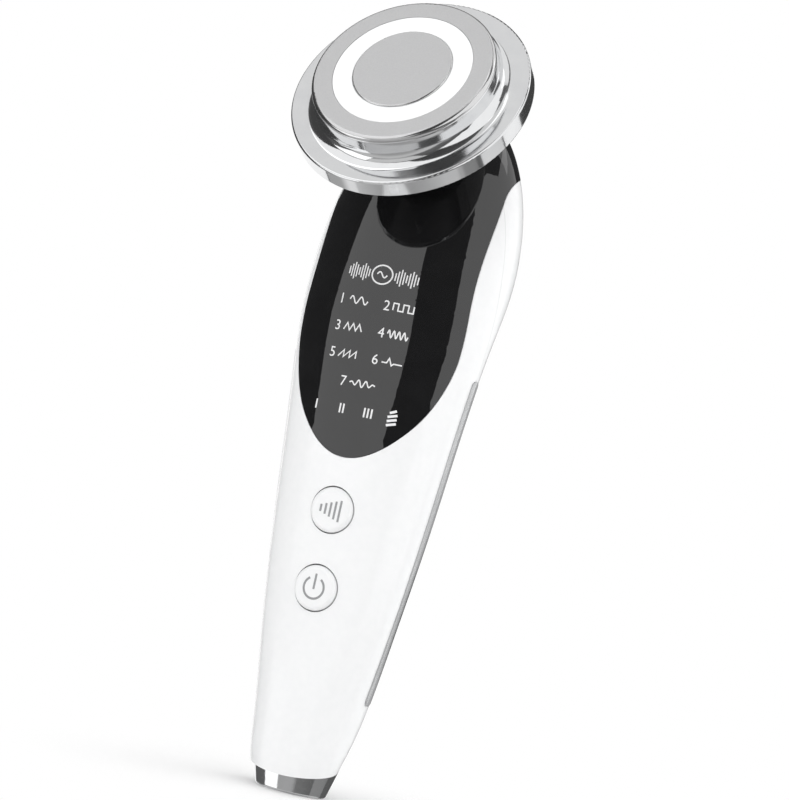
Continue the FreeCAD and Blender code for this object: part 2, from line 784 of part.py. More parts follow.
# Display light guide: one cell for each sign on the cover, one lamp in each cell.
cells = [(side * cell_column, cell_row_z + row * cell_row_pitch, cell_half_width, cell_half_height)
         for row in range(cell_row_count) for side in (-1, 1)]
cells.append((0, cell_single_z, cell_half_width, cell_half_height))
for i in range(cell_level_count):
    step = i - (cell_level_count - 1) / 2
    cells.append((step * cell_level_pitch, cell_level_z, cell_level_half, cell_half_height))
guide_corners = [(side * guide_half_width, z, guide_corner)
                 for side, z in ((-1, guide_low_z), (1, guide_low_z), (1, guide_high_z), (-1, guide_high_z))]
guide = along_y(guide_corners, guide_front_y, board_front_y)
lamps = []
for x, z, half_w, half_h in cells + [(0, cell_emblem_z, cell_emblem_radius, cell_emblem_radius)]:
    guide = guide.cut(box(V(x - half_w, -reach, z - half_h), V(x + half_w, board_front_y, z + half_h)))
    lamps.append(box(V(x - lamp_length / 2, board_front_y - lamp_height, z - lamp_width / 2),
                     V(x + lamp_length / 2, board_front_y, z + lamp_width / 2)))
parts["light_guide"] = guide
parts["display_lamps"] = Part.makeCompound(lamps)

# Battery on its pad, output coil, controller and drivers.
pad_y = board_back_y + pad_thickness
parts["battery_pad"] = box(V(-battery_half_width + pad_margin, board_back_y, battery_low_z + pad_margin),
                           V(battery_half_width - pad_margin, pad_y, battery_high_z - pad_margin))
cell_back = pad_y + battery_thickness
cell = [(-battery_half_width, pad_y, battery_edge), (battery_half_width, pad_y, battery_edge),
        (battery_half_width, cell_back, battery_edge), (-battery_half_width, cell_back, battery_edge)]
parts["battery"] = along_z(cell, battery_low_z, battery_high_z)
drum = turned([(0, 0), (coil_radius, 0), (coil_radius, coil_flange), (coil_core_radius, coil_flange),
               (coil_core_radius, coil_height - coil_flange), (coil_radius, coil_height - coil_flange),
               (coil_radius, coil_height), (0, coil_height)])
winding = turned([(coil_core_radius + coil_gap, coil_flange + coil_gap),
                  (coil_radius - coil_flange / 2, coil_flange + coil_gap),
                  (coil_radius - coil_flange / 2, coil_height - coil_flange - coil_gap),
                  (coil_core_radius + coil_gap, coil_height - coil_flange - coil_gap)])
on_back = FreeCAD.Placement(V(0, board_back_y, coil_z), FreeCAD.Rotation(V(1, 0, 0), -90))
for name, shape in (("coil_core", drum), ("coil_winding", winding)):
    shape.Placement = on_back
    parts[name] = shape
parts["controller"] = box(V(-chip_size / 2, board_back_y, chip_z - chip_size / 2),
                          V(chip_size / 2, board_back_y + chip_height, chip_z + chip_size / 2))
drivers = []
for side in (-1, 1):
    x = side * driver_x
    drivers.append(box(V(x - driver_width / 2, board_back_y, driver_z - driver_length / 2),
                       V(x + driver_width / 2, board_back_y + driver_height, driver_z + driver_length / 2)))
parts["drivers"] = Part.makeCompound(drivers)

# Ribbon from the head through the neck to its socket on the main board.
head_turn = FreeCAD.Rotation(V(1, 0, 0), head_tilt)
axis = head_turn.multVec(V(0, 0, 1))
across = head_turn.multVec(V(0, 1, 0))
ribbon_turn_depth = neck_end - ribbon_margin
turn_start = V(0, head_y, head_z) + across * ribbon_offset - axis * ribbon_turn_depth
sweep = math.radians(90) - math.asin(axis.z)
down_y = turn_start.y + ribbon_bend * (1 - math.cos(sweep))
down_z = turn_start.z - ribbon_bend * math.sin(sweep)
half_sweep = sweep / 2


def bend_point(radius, angle):
    """Point on the ribbon's bend, the angle counted from its lower, upright end."""
    hub_y = down_y - ribbon_bend
    return V(-ribbon_half_width, hub_y + radius * math.cos(angle), down_z + radius * math.sin(angle))


near = ribbon_bend - ribbon_thickness / 2
away = ribbon_bend + ribbon_thickness / 2
ribbon_end = socket_high_z - ribbon_insert
far_run = axis * (carrier_top + ribbon_turn_depth)
a0 = bend_point(away, sweep)
a1 = bend_point(away, 0)
b0 = bend_point(near, sweep)
b1 = bend_point(near, 0)
a2 = V(a1.x, a1.y, ribbon_end)
b2 = V(b1.x, b1.y, ribbon_end)
edges = [Part.makeLine(a0 + far_run, a0), Part.Arc(a0, bend_point(away, half_sweep), a1).toShape(),
         Part.makeLine(a1, a2), Part.makeLine(a2, b2), Part.makeLine(b2, b1),
         Part.Arc(b1, bend_point(near, half_sweep), b0).toShape(), Part.makeLine(b0, b0 + far_run),
         Part.makeLine(b0 + far_run, a0 + far_run)]
ribbon = Part.Face(Part.Wire(edges)).extrude(V(2 * ribbon_half_width, 0, 0))
parts["head_ribbon"] = ribbon
jack = box(V(-socket_half_width, board_back_y, socket_low_z),
           V(socket_half_width, board_back_y + socket_height, socket_high_z))
parts["ribbon_socket"] = jack.cut(ribbon)

# Leaf springs from the board edge to the electrode posts.
leaves = []
for side in (-1, 1):
    post_end = station(post_high_z)[0] - strip_depth / 2 - post_length - leaf_gap
    foot_x = post_end - leaf_thickness
    foot_end = foot_x - leaf_foot
    leaf_top = board_back_y + leaf_thickness
    corners = [(side * foot_end, board_back_y), (side * post_end, board_back_y),
               (side * post_end, parting_y + post_radius), (side * foot_x, parting_y + post_radius),
               (side * foot_x, leaf_top), (side * foot_end, leaf_top)]
    leaves.append(along_z(corners, post_high_z - leaf_half_length, post_high_z + leaf_half_length))
parts["electrode_leaves"] = Part.makeCompound(leaves)

os.makedirs("parts", exist_ok=True)
for name, shape in parts.items():
    shape.exportStep("parts/" + name + ".step")
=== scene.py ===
import math
import bpy
import bmesh
from mathutils import Matrix, Quaternion, Vector


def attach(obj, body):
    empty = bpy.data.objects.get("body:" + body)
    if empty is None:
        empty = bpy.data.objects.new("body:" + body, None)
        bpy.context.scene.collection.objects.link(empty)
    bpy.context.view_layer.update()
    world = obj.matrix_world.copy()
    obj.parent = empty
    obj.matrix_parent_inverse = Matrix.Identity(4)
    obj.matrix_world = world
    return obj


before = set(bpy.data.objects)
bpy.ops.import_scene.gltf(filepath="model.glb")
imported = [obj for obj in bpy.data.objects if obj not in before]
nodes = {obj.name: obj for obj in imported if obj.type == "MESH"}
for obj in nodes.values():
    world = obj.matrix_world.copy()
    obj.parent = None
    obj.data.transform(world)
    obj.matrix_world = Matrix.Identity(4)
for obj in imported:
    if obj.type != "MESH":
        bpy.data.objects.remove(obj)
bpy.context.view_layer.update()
MM = 0.001

noise_span = (0.3, 0.7)           # the part of a noise's range that colour and roughness follow
drift_detail = 3.0
wear_detail = 4.0
relief_detail = 2.0
wear_coarseness = 4               # wear is this many times as coarse as the drift of colour
relief_depth = 0.02 * MM
flat_span = (0.95, 0.995)         # cosine to the axis, from polished edge to flat face
head_tilt = math.radians(30.0)    # the head's face looks forward, and up by this angle
head_axis = (0.0, -math.cos(head_tilt), math.sin(head_tilt))


def add(tree, kind, **values):
    """New shader node with its properties set."""
    node = tree.nodes.new(kind)
    for key, value in values.items():
        setattr(node, key, value)
    return node


def noise_of(tree, place, scale, detail):
    """Noise in object space; a scale of 1000 makes grains of about a millimetre."""
    node = add(tree, "ShaderNodeTexNoise")
    node.inputs["Scale"].default_value = scale
    node.inputs["Detail"].default_value = detail
    tree.links.new(place, node.inputs["Vector"])
    return node.outputs["Fac"]


def map_range(tree, value, span, **values):
    """Map-range node on a value; it runs from 0 to 1 over the span unless its outputs are set."""
    node = add(tree, "ShaderNodeMapRange", **values)
    node.inputs["From Min"].default_value = span[0]
    node.inputs["From Max"].default_value = span[1]
    tree.links.new(value, node.inputs["Value"])
    return node


def surface(name, low, high, rough, metal=0.0, grain=600.0, bump=0.0, bump_scale=3000.0,
            stretch=(1.0, 1.0, 1.0), pattern=None, flat_axis=None, edge_rough=0.0, **sockets):
    """Procedural finish: colour and roughness drift with noise, and a fine relief roughens the gloss.

    With flat_axis given, only faces square to that axis keep this roughness, and edges are polished."""
    made = bpy.data.materials.new(name)
    made.use_nodes = True
    tree = made.node_tree
    link = tree.links.new
    shader = tree.nodes["Principled BSDF"]
    coords = add(tree, "ShaderNodeTexCoord")
    mapping = add(tree, "ShaderNodeMapping")
    mapping.inputs["Scale"].default_value = stretch
    link(coords.outputs["Object"], mapping.inputs["Vector"])
    place = mapping.outputs["Vector"]

    drift = noise_of(tree, place, grain, drift_detail) if pattern is None else pattern(tree, place)
    ramp = add(tree, "ShaderNodeValToRGB")
    for stop, position, colour in zip(ramp.color_ramp.elements, noise_span, (low, high)):
        stop.position = position
        stop.color = (*colour, 1.0)
    link(drift, ramp.inputs["Fac"])
    link(ramp.outputs["Color"], shader.inputs["Base Color"])

    wear = noise_of(tree, place, grain / wear_coarseness, wear_detail)
    span = map_range(tree, wear, noise_span)
    span.inputs["To Min"].default_value = rough[0]
    span.inputs["To Max"].default_value = rough[1]
    roughness = span.outputs["Result"]
    if flat_axis is not None:
        shape = add(tree, "ShaderNodeNewGeometry")
        square = add(tree, "ShaderNodeVectorMath", operation="DOT_PRODUCT")
        square.inputs[1].default_value = flat_axis
        link(shape.outputs["Normal"], square.inputs[0])
        edge = map_range(tree, square.outputs["Value"], flat_span)
        edge.inputs["To Min"].default_value = edge_rough
        link(roughness, edge.inputs["To Max"])
        roughness = edge.outputs["Result"]
    link(roughness, shader.inputs["Roughness"])

    if bump > 0:
        relief = add(tree, "ShaderNodeBump")
        relief.inputs["Strength"].default_value = bump
        relief.inputs["Distance"].default_value = relief_depth
        height = noise_of(tree, place, bump_scale, relief_detail) if pattern is None else drift
        link(height, relief.inputs["Height"])
        link(relief.outputs["Normal"], shader.inputs["Normal"])
    shader.inputs["Metallic"].default_value = metal
    for socket, value in sockets.items():
        shader.inputs[socket.replace("_", " ")].default_value = value
    return made


def wave_pattern(direction, scale, distortion):
    """Parallel bands across one axis, as on wound wire or a milled face."""
    def build(tree, place):
        node = add(tree, "ShaderNodeTexWave", bands_direction=direction)
        node.inputs["Scale"].default_value = scale
        node.inputs["Distortion"].default_value = distortion
        tree.links.new(place, node.inputs["Vector"])
        return node.outputs["Fac"]
    return build


def trace_pattern(scale):
    """Blocky tracks, as on a printed board under its lacquer."""
    def build(tree, place):
        node = add(tree, "ShaderNodeTexVoronoi", distance="MANHATTAN", feature="F1")
        node.inputs["Scale"].default_value = scale
        tree.links.new(place, node.inputs["Vector"])
        return node.outputs["Distance"]
    return build


finishes = {
    "white_shell": surface("white_gloss", (0.845, 0.85, 0.855), (0.865, 0.868, 0.872), (0.13, 0.19),
                           bump=0.03, bump_scale=1400.0, IOR=1.5),
    "white_key": surface("white_key_gloss", (0.83, 0.835, 0.84), (0.85, 0.853, 0.857), (0.18, 0.26),
                         bump=0.04, bump_scale=2600.0, IOR=1.5),
    "black_gloss": surface("piano_black", (0.0065, 0.0065, 0.007), (0.0085, 0.0085, 0.009), (0.01, 0.03),
                           grain=220.0, IOR=1.78),
    "plated_chrome": surface("bright_chrome", (0.80, 0.805, 0.815), (0.84, 0.845, 0.85), (0.07, 0.11),
                             metal=1.0, grain=260.0),
    "satin_steel": surface("satin_steel", (0.71, 0.71, 0.715), (0.75, 0.75, 0.755), (0.46, 0.50),
                           metal=1.0, grain=3600.0, bump=0.12, bump_scale=9000.0,
                           flat_axis=head_axis, edge_rough=0.14),
    "strip_steel": surface("strip_steel", (0.56, 0.565, 0.575), (0.68, 0.685, 0.69), (0.16, 0.26),
                           metal=1.0, grain=5200.0, stretch=(1.0, 1.0, 0.03)),
    "white_window": surface("opal_window", (0.91, 0.915, 0.92), (0.94, 0.942, 0.945), (0.24, 0.32),
                            grain=420.0),
    "seal_rubber": surface("seal_rubber", (0.014, 0.014, 0.015), (0.024, 0.024, 0.025), (0.62, 0.78),
                           bump=0.35, bump_scale=5200.0),
    "spring_steel": surface("spring_steel", (0.52, 0.50, 0.46), (0.60, 0.58, 0.54), (0.24, 0.36),
                            metal=1.0, grain=2600.0, stretch=(1.0, 0.1, 1.0)),
    "screw_steel": surface("screw_steel", (0.44, 0.44, 0.46), (0.56, 0.56, 0.58), (0.26, 0.42),
                           metal=1.0, grain=2400.0, bump=0.2),
    "motor_steel": surface("motor_steel", (0.55, 0.55, 0.56), (0.64, 0.64, 0.65), (0.22, 0.34),
                           metal=1.0, grain=3200.0, stretch=(0.08, 1.0, 1.0)),
    "weight_brass": surface("weight_brass", (0.58, 0.43, 0.20), (0.68, 0.52, 0.26), (0.26, 0.4),
                            metal=1.0, grain=2200.0, bump=0.25, bump_scale=4200.0),
    "inner_plastic": surface("inner_plastic", (0.62, 0.62, 0.61), (0.68, 0.68, 0.67), (0.48, 0.62),
                             bump=0.3, bump_scale=3800.0),
    "board": surface("board_green", (0.006, 0.075, 0.032), (0.012, 0.125, 0.052), (0.26, 0.4),
                     bump=0.25, pattern=trace_pattern(620.0)),
    "lamp": surface("lamp_lens", (0.74, 0.72, 0.55), (0.86, 0.85, 0.72), (0.2, 0.34), grain=2400.0),
    "black_plastic": surface("black_moulding", (0.013, 0.013, 0.014), (0.022, 0.022, 0.023), (0.42, 0.58),
                             bump=0.3, bump_scale=4200.0),
    "battery_foil": surface("battery_foil", (0.56, 0.57, 0.60), (0.66, 0.67, 0.70), (0.3, 0.46),
                            metal=1.0, grain=900.0, bump=0.5, bump_scale=900.0),
    "ferrite": surface("ferrite", (0.020, 0.019, 0.019), (0.036, 0.034, 0.033), (0.5, 0.68),
                       bump=0.35, bump_scale=3400.0),
    "copper_wire": surface("copper_wire", (0.42, 0.14, 0.055), (0.72, 0.28, 0.12), (0.22, 0.36),
                           metal=1.0, bump=0.9, pattern=wave_pattern("Y", 480.0, 0.4)),
    "ribbon_film": surface("ribbon_film", (0.36, 0.16, 0.03), (0.50, 0.24, 0.05), (0.26, 0.4),
                           bump=0.3, pattern=wave_pattern("X", 420.0, 0.0)),
}
print_white = surface("screen_print", (0.78, 0.78, 0.785), (0.82, 0.82, 0.825), (0.38, 0.5), grain=1800.0,
                      bump=0.1)
# Painted shade: a flat grey that stands in for the shade inside the engraved button icons.
icon_engraving_shade = surface("icon_engraving_shade", (0.26, 0.265, 0.27), (0.32, 0.325, 0.33), (0.36, 0.5), grain=2200.0,
                    bump=0.15)

for node in nodes.values():
    for slot in node.material_slots:
        slot.material = finishes[slot.material.name.split(".")[0]]


# Signs, each a flat shape in millimetres (x, z) that is laid on the surface which carries it.
# Height of the print, and of the painted shade on the button icons, above their surface.
print_and_shade_lift = 0.03 * MM
cast_from = -0.1                  # in front of every surface, in metres
least_mitre = 0.5                 # keeps a band's sharpest corners short


def strip(points, width, closed=False):
    """Band of a given width along a run of points: its corners and its four-sided faces."""
    half = width / 2
    count = len(points)
    corners = []
    for i, (x, z) in enumerate(points):
        last = points[i - 1] if i > 0 or closed else points[i]
        following = points[(i + 1) % count] if i < count - 1 or closed else points[i]
        came = Vector((x - last[0], z - last[1]))
        goes = Vector((following[0] - x, following[1] - z))
        came = came.normalized() if came.length > 0 else goes.normalized()
        goes = goes.normalized() if goes.length > 0 else came
        run = (came + goes).normalized()
        reach = half / max(run.dot(goes), least_mitre)
        corners += [(x - run.y * reach, z + run.x * reach), (x + run.y * reach, z - run.x * reach)]
    pairs = count if closed else count - 1
    faces = []
    for i in range(pairs):
        k = (i + 1) % count
        faces.append((2 * i + 1, 2 * k + 1, 2 * k, 2 * i))
    return corners, faces


def joined(shapes):
    """One shape from several."""
    corners = []
    faces = []
    for more_corners, more_faces in shapes:
        base = len(corners)
        corners += more_corners
        faces += [tuple(base + i for i in face) for face in more_faces]
    return corners, faces


def arc(centre, half_width, half_height, start, end, count):
    """Points along an oval arc, its angles in degrees from +X towards +Z."""
    steps = [math.radians(start + (end - start) * i / count) for i in range(count + 1)]
    return [(centre[0] + half_width * math.cos(a), centre[1] + half_height * math.sin(a)) for a in steps]


def upright(x, z, height, width, count=4):
    """Upright bar centred on a point."""
    return strip([(x, z + height * (i / count - 0.5)) for i in range(count + 1)], width)


def numeral(value, x, z, height):
    """Numeral in the built-in font; x gives its left side and z its middle."""
    curve = bpy.data.curves.new("numeral", "FONT")
    curve.body = str(value)
    curve.size = 1.0
    text = bpy.data.objects.new("numeral", curve)
    bpy.context.scene.collection.objects.link(text)
    bpy.context.view_layer.update()
    mesh = bpy.data.meshes.new_from_object(text.evaluated_get(bpy.context.evaluated_depsgraph_get()))
    low_x = min(v.co.x for v in mesh.vertices)
    low = min(v.co.y for v in mesh.vertices)
    high = max(v.co.y for v in mesh.vertices)
    scale = height / (high - low)
    corners = [(x + (v.co.x - low_x) * scale, z + (v.co.y - (low + high) / 2) * scale)
               for v in mesh.vertices]
    faces = [tuple(p.vertices) for p in mesh.polygons]
    bpy.data.objects.remove(text)
    bpy.data.curves.remove(curve)
    bpy.data.meshes.remove(mesh)
    return corners, faces


def lay_on(name, shapes, carrier, body, finish):
    """Thin piece, print on the display and painted shade on the buttons: its shapes are thrown along +Y onto
    a CAD node and stand a little proud of it.
    """
    host = nodes[carrier]
    corners, faces = joined(shapes)
    work = bmesh.new()
    top = []
    low = []
    for x, z in corners:
        hit, spot, normal, _ = host.ray_cast(Vector((x * MM, cast_from, z * MM)), Vector((0, 1, 0)))
        if not hit:
            raise RuntimeError("%s has a corner beside %s at %.2f, %.2f" % (name, carrier, x, z))
        top.append(work.verts.new(spot + normal * print_and_shade_lift))
        low.append(work.verts.new(spot - normal * print_and_shade_lift))
    used = {}
    for face in faces:
        work.faces.new([top[i] for i in face])
        work.faces.new([low[i] for i in reversed(face)])
        used.update(dict.fromkeys(zip(face, face[1:] + face[:1])))
    for a, b in used:
        if (b, a) not in used:
            work.faces.new((top[b], top[a], low[a], low[b]))
    bmesh.ops.recalc_face_normals(work, faces=work.faces)
    mesh = bpy.data.meshes.new(name)
    work.to_mesh(mesh)
    work.free()
    piece = bpy.data.objects.new(name, mesh)
    bpy.context.scene.collection.objects.link(piece)
    piece.data.materials.append(finish)
    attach(piece, body)


def display_sign(name, shapes):
    """Sign printed on the display cover."""
    lay_on(name, shapes, "display_cover", "handle", print_white)


def button_icon(name, shapes, carrier, body):
    """Engraved icon on a button, which moves with it; its flat grey mark is painted shade, standing in for
    the shade in the engraved grooves.
    """
    lay_on(name, shapes, carrier, body, icon_engraving_shade)


def curve_points(x, z, length, steps, height_at):
    """Points along a curve from (x, z); height_at takes the share of the length."""
    return [(x + length * i / steps, z + height_at(i / steps)) for i in range(steps + 1)]


# Emblem at the top of the display: a wave in an oval ring, between two groups of upright bars.
emblem_z = 107.3
ring_half_width = 2.3
ring_half_height = 1.95
ring_stroke = 0.32
ring_sides = 48
ring_points = arc((0, emblem_z), ring_half_width, ring_half_height, 0, 360 - 360 / ring_sides, ring_sides - 1)
emblem = [strip(ring_points, ring_stroke, closed=True)]
wave_half = 1.15
wave_rise = 0.55
wave_steps = 16
wave_stroke = 0.28
wave = curve_points(-wave_half, emblem_z, 2 * wave_half, wave_steps,
                    lambda share: wave_rise * math.sin(2 * math.pi * share))
emblem.append(strip(wave, wave_stroke))
bar_first = 3.0
bar_pitch = 0.6
bar_count = 9
bar_width = 0.26
bar_mean = 2.55
bar_swing = 0.95                  # over a period of four bars
for side in (-1, 1):
    for i in range(bar_count):
        height = bar_mean - bar_swing * math.cos(i * math.pi / 2)
        emblem.append(upright(side * (bar_first + i * bar_pitch), emblem_z, height, bar_width))
display_sign("display_emblem", emblem)


# Mode signs: a numeral and the outline of its pulse, in two columns and one in the middle below.
coarse_steps = 32
fine_steps = 48
pulse_corners = {
    "block": ((0, 0), (0, 1), (0.25, 1), (0.25, 0), (0.5, 0),
              (0.5, 1), (0.75, 1), (0.75, 0), (1, 0), (1, 1)),
    "saw": ((0, 0), (0.17, 1), (0.33, 0), (0.5, 1), (0.67, 0), (0.83, 1), (1, 0)),
    "ramp": ((0, 0), (0.3, 1), (0.3, 0), (0.63, 1), (0.63, 0), (0.97, 1), (0.97, 0)),
    "beat": ((0, 0.3), (0.25, 0.3), (0.35, 1), (0.5, 0), (0.6, 0.3), (1, 0.3)),
}


def pulse(kind, x, z, length, rise):
    """Points of a plain wave form: swing, block, saw, ripple, ramp, beat or swell."""
    half = rise / 2
    if kind == "swing":
        return curve_points(x, z, length, coarse_steps, lambda share: half * math.sin(4 * math.pi * share))
    if kind == "ripple":
        return curve_points(x, z, length, fine_steps, lambda share: half * math.sin(8 * math.pi * share))
    if kind == "swell":
        return curve_points(x, z, length, fine_steps,
                            lambda share: half * math.sin(math.pi * share) * math.sin(7 * math.pi * share))
    return [(x + length * along, z + rise * (tall - 0.5)) for along, tall in pulse_corners[kind]]


sign_rows = (101.3, 95.7, 90.1)
sign_columns = (-8.2, 1.9)
sign_last = (-4.2, 84.6)
sign_kinds = ("swing", "block", "saw", "ripple", "ramp", "beat", "swell")
digit_height = 2.05
pulse_start = 2.1
pulse_length = 4.3
pulse_rise = 1.45
pulse_stroke = 0.27
swell_stretch = 1.35
places = [(x, z) for z in sign_rows for x in sign_columns] + [sign_last]
for value, ((x, z), kind) in enumerate(zip(places, sign_kinds), 1):
    length = pulse_length * (swell_stretch if kind == "swell" else 1.0)
    sign = [numeral(value, x, z, digit_height),
            strip(pulse(kind, x + pulse_start, z, length, pulse_rise), pulse_stroke)]
    display_sign("mode_sign_%d" % value, sign)

# Level signs along the bottom: one, two and three bars, and a battery of four slanted cells.
level_z = 79.0
level_places = (-9.0, -3.0, 2.6)
level_height = 1.95
level_pitch = 0.78
level_width = 0.36
for count, x in enumerate(level_places, 1):
    sign = [upright(x + i * level_pitch, level_z, level_height, level_width) for i in range(count)]
    display_sign("level_sign_%d" % count, sign)
battery_x = 8.5
battery_cells = 4
battery_pitch = 0.86
cell_half = 0.95
cell_width = 0.5
cell_slant = 0.62
top_cell_share = 0.7
sign = []
for i in range(battery_cells):
    z = level_z + (i - (battery_cells - 1) / 2) * battery_pitch
    half = cell_half * (top_cell_share if i == battery_cells - 1 else 1.0)
    sign.append(strip([(battery_x - half, z - cell_slant / 2), (battery_x + half, z + cell_slant / 2)],
                      cell_width))
display_sign("battery_sign", sign)

# Button icons: rising bars on the upper key, a broken ring with an upright stroke on the lower.
# Their grey is painted shade, standing in for the shade inside the engraving; the marks stand proud and are
# not cut in.
mode_z = 58.3
power_z = 42.1
icon_bars = 5
icon_pitch = 1.08
icon_low = 1.5
icon_rise = 0.73
icon_stroke = 0.46
icon = []
for i in range(icon_bars):
    x = (i - (icon_bars - 1) / 2) * icon_pitch
    icon.append(upright(x, mode_z, icon_low + i * icon_rise, icon_stroke))
button_icon("mode_icon", icon, "mode_button", "mode_key")
power_radius = 2.25
power_gap = 34.0                  # degrees to each side of the top
power_steps = 40
stroke_middle = 1.3
stroke_length = 3.2
ring_points = arc((0, power_z), power_radius, power_radius, 90 + power_gap, 450 - power_gap, power_steps)
icon = [strip(ring_points, icon_stroke), upright(0, power_z + stroke_middle, stroke_length, icon_stroke)]
button_icon("power_icon", icon, "power_button", "power_key")


# Floor: pale and matt, with the object's shadow near it, and plain white to the camera farther out.
# Reflections leave it out.
def make_floor():
    radius = 4.0
    sectors = 96
    fibre_grain = 900.0
    fibre_detail = 4.0
    paper_greys = (0.90, 0.93)
    white_span = (0.012, 0.06)        # distance from the middle at which white begins and is full
    mesh = bpy.data.meshes.new("floor")
    work = bmesh.new()
    bmesh.ops.create_circle(work, cap_ends=True, segments=sectors, radius=radius)
    work.to_mesh(mesh)
    work.free()
    floor = bpy.data.objects.new("floor", mesh)
    bpy.context.scene.collection.objects.link(floor)
    made = bpy.data.materials.new("floor_paper")
    made.use_nodes = True
    tree = made.node_tree
    tree.nodes.remove(tree.nodes["Principled BSDF"])
    link = tree.links.new
    paper = add(tree, "ShaderNodeBsdfDiffuse")
    coords = add(tree, "ShaderNodeTexCoord")
    fibre = noise_of(tree, coords.outputs["Object"], fibre_grain, fibre_detail)
    ramp = add(tree, "ShaderNodeValToRGB")
    for stop, grey in zip(ramp.color_ramp.elements, paper_greys):
        stop.color = (grey, grey, grey, 1.0)
    link(fibre, ramp.inputs["Fac"])
    link(ramp.outputs["Color"], paper.inputs["Color"])
    white = add(tree, "ShaderNodeEmission")
    distance = add(tree, "ShaderNodeVectorMath", operation="LENGTH")
    link(coords.outputs["Object"], distance.inputs[0])
    fade = map_range(tree, distance.outputs["Value"], white_span, interpolation_type="SMOOTHSTEP")
    rays = add(tree, "ShaderNodeLightPath")
    seen = add(tree, "ShaderNodeMath", operation="MULTIPLY")
    link(fade.outputs["Result"], seen.inputs[0])
    link(rays.outputs["Is Camera Ray"], seen.inputs[1])
    mix = add(tree, "ShaderNodeMixShader")
    link(seen.outputs["Value"], mix.inputs["Fac"])
    link(paper.outputs["BSDF"], mix.inputs[1])
    link(white.outputs["Emission"], mix.inputs[2])
    link(mix.outputs["Shader"], tree.nodes["Material Output"].inputs["Surface"])
    floor.data.materials.append(made)
    floor.visible_glossy = False


make_floor()


# World: white to the camera and in metal and glass, and a softer light of the same colour for the rest.
def make_world():
    room_strength = 0.55
    world = bpy.data.worlds.new("studio")
    bpy.context.scene.world = world
    world.use_nodes = True
    tree = world.node_tree
    link = tree.links.new
    seen = tree.nodes["Background"]
    seen.inputs["Color"].default_value = (1.0, 1.0, 1.0, 1.0)
    room = add(tree, "ShaderNodeBackground")
    room.inputs["Color"].default_value = (1.0, 1.0, 1.0, 1.0)
    room.inputs["Strength"].default_value = room_strength
    rays = add(tree, "ShaderNodeLightPath")
    mirrored = add(tree, "ShaderNodeMath", operation="MAXIMUM")
    link(rays.outputs["Is Camera Ray"], mirrored.inputs[0])
    link(rays.outputs["Is Glossy Ray"], mirrored.inputs[1])
    through = add(tree, "ShaderNodeMath", operation="MAXIMUM")
    link(mirrored.outputs["Value"], through.inputs[0])
    link(rays.outputs["Is Transmission Ray"], through.inputs[1])
    mix = add(tree, "ShaderNodeMixShader")
    link(through.outputs["Value"], mix.inputs["Fac"])
    link(room.outputs["Background"], mix.inputs[1])
    link(seen.outputs["Background"], mix.inputs[2])
    link(mix.outputs["Shader"], tree.nodes["World Output"].inputs["Surface"])


make_world()

# Lamps and cards around the object. Cards below the floor only show in reflections.
studio_centre = Vector((0, 0, 0.09))
lamps = {}


def softbox(name, azimuth, elevation, distance, width, height, glow, rise=0.0, lean=0.0):
    """Soft studio lamp that faces the object, in degrees and metres; glow is its brightness, 1 for white."""
    a = math.radians(azimuth)
    e = math.radians(elevation)
    back = Vector((math.sin(a) * math.cos(e), -math.cos(a) * math.cos(e), math.sin(e)))
    data = bpy.data.lights.new(name, "AREA")
    data.shape = "RECTANGLE"
    data.size = width
    data.size_y = height
    data.energy = glow * math.pi * width * height
    lamp = bpy.data.objects.new(name, data)
    bpy.context.scene.collection.objects.link(lamp)
    lamp.location = studio_centre + Vector((0, 0, rise)) + back * distance
    facing = (-back).to_track_quat("-Z", "Y")
    lamp.rotation_mode = "QUATERNION"
    lamp.rotation_quaternion = facing @ Quaternion((0, 0, 1), math.radians(lean))
    lamps[name] = lamp


# Azimuth, elevation, distance, width, height and glow of each.
softbox("left_front_lamp", -29.5, 0.0, 1.0, 1.2, 1.28, 1.05, rise=0.52, lean=5.0)
softbox("left_low_card", -50.5, 0.0, 1.0, 0.75, 0.65, 1.2, rise=-0.52)
softbox("left_rear_low_card", -125.0, 0.0, 1.0, 0.6, 0.75, 0.27, rise=-0.865)
softbox("front_low_card", -3.5, 0.0, 1.0, 0.96, 0.53, 0.5, rise=-0.375)
softbox("front_floor_card", -3.5, 0.0, 1.0, 0.96, 0.25, 0.25, rise=-0.765)
softbox("right_front_lamp", 62.0, 0.0, 1.0, 0.81, 1.57, 0.92, rise=0.525)
softbox("right_rear_lamp", 117.0, 0.0, 1.0, 1.3, 1.53, 0.95, rise=0.645)
softbox("right_low_card", 126.0, 0.0, 1.0, 0.89, 0.34, 0.64, rise=-0.29)
softbox("right_strip_card", 158.0, 0.0, 1.0, 0.42, 0.38, 0.5, rise=-0.15)
softbox("right_floor_card", 105.0, 0.0, 1.0, 1.02, 0.35, 0.12, rise=-0.765)
softbox("top_lamp", -56.0, 66.0, 1.35, 1.25, 1.25, 0.66)
softbox("front_top_lamp", 20.0, 58.0, 1.35, 0.75, 0.62, 0.6)
softbox("rear_top_lamp", 140.0, 66.0, 1.35, 0.9, 0.9, 0.75)
softbox("rear_lamp", 215.0, 0.0, 1.2, 0.9, 1.5, 0.92, rise=0.15)


